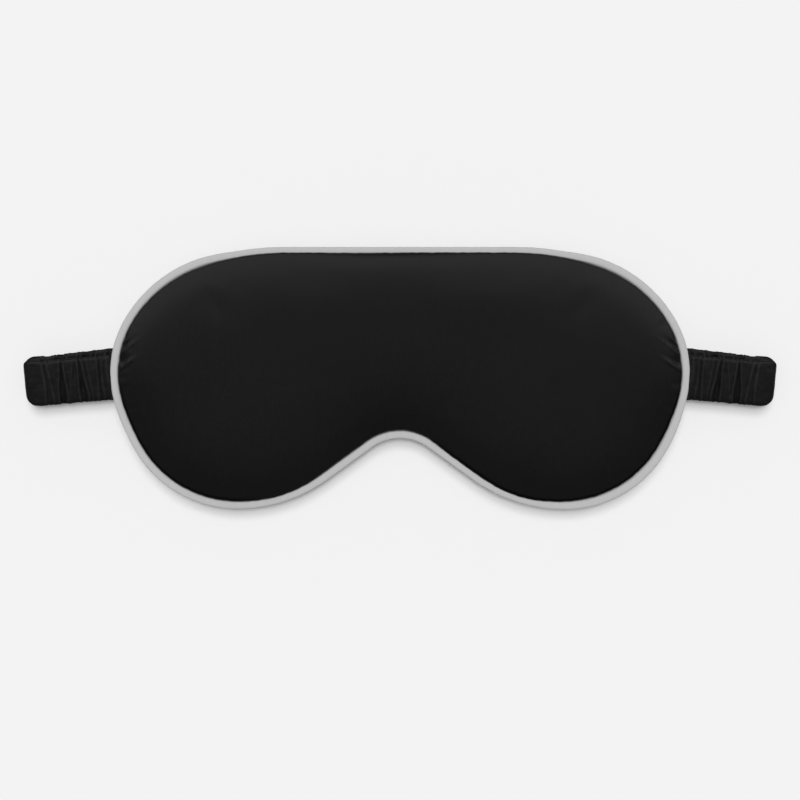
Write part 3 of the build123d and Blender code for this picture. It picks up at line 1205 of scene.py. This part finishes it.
def make_surround():
    """A pale surround for diffuse light; highlights see a dark room with two soft boxes.

    One box fills the forehead side and the other hangs overhead."""
    world = bpy.data.worlds.new("surround")
    world.use_nodes = True
    world.cycles.sampling_method = "NONE"
    tree = world.node_tree

    def math_node(operation, *values):
        """One sum of numbers and outputs."""
        node = tree.nodes.new("ShaderNodeMath")
        node.operation = operation
        for socket, value in zip(node.inputs, values):
            if isinstance(value, float):
                socket.default_value = value
            else:
                tree.links.new(value, socket)
        return node.outputs[0]

    def glow(source, low, high, level):
        """0 where source is below low, level above high, and a smooth step between them."""
        node = tree.nodes.new("ShaderNodeMapRange")
        node.interpolation_type = "SMOOTHSTEP"
        tree.links.new(source, node.inputs["Value"])
        for socket, value in zip(node.inputs[1:5], (low, high, 0.0, level)):
            socket.default_value = value
        return node.outputs["Result"]

    place = tree.nodes.new("ShaderNodeTexCoord")
    way = tree.nodes.new("ShaderNodeSeparateXYZ")
    ray = tree.nodes.new("ShaderNodeLightPath")
    tree.links.new(place.outputs["Generated"], way.inputs[0])
    sideways = math_node("MULTIPLY", math_node("ABSOLUTE", way.outputs["X"]), FOREHEAD_SPREAD)
    widened = math_node("MULTIPLY", math_node("ADD", sideways, 1.0), way.outputs["Y"])
    forehead = glow(widened, *FOREHEAD_GLOW)
    boxes = math_node("ADD", forehead, glow(way.outputs["Z"], *OVERHEAD_GLOW))
    above = glow(way.outputs["Z"], -0.1, 0.1, 1.0)
    room = math_node("MULTIPLY", math_node("ADD", boxes, HIGHLIGHT_BASE), above)
    glossy, camera = ray.outputs["Is Glossy Ray"], ray.outputs["Is Camera Ray"]
    dull = math_node("SUBTRACT", 1.0, glossy)
    plain = math_node("MULTIPLY", dull, SURROUND_LEVEL)
    level = math_node("ADD", math_node("MULTIPLY", room, glossy), plain)
    level = math_node("MAXIMUM", level, math_node("MULTIPLY", camera, BACKDROP_LEVEL))
    background = tree.nodes["Background"]
    background.inputs[0].default_value = (1, 1, 1, 1)
    tree.links.new(level, background.inputs[1])
    bpy.context.scene.world = world


def make_lights():
    """A soft key from above the forehead edge, an even top light and a pale surround."""
    add_sun("key_light", tilt=16, spread=24, strength=1.2)
    add_sun("top_light", tilt=2, spread=14, strength=1.42)
    make_surround()
    bpy.context.scene.view_settings.view_transform = "Standard"


def make_camera():
    """Straight down on the front of the mask."""
    data = bpy.data.cameras.new("camera")
    data.lens = LENS
    data.sensor_width = SENSOR
    camera = bpy.data.objects.new("camera", data)
    distance = VIEW_WIDTH * LENS / SENSOR
    camera.location = (0, VIEW_SHIFT_Y, distance + SEAM_Z * MM)
    bpy.context.scene.collection.objects.link(camera)
    bpy.context.scene.camera = camera


paint_cad_nodes()
for face, up in (("front", True), ("back", False)):
    side, surface = cover_shape(f"{face}_cover", up)
    make_cover(f"{face}_cover_satin", f"{face}_cover", side, surface)
    make_padding(f"{face}_wadding", f"{face}_padding", side, surface)
make_piping()
make_cord()
make_strap()
make_floor()
make_lights()
make_camera()
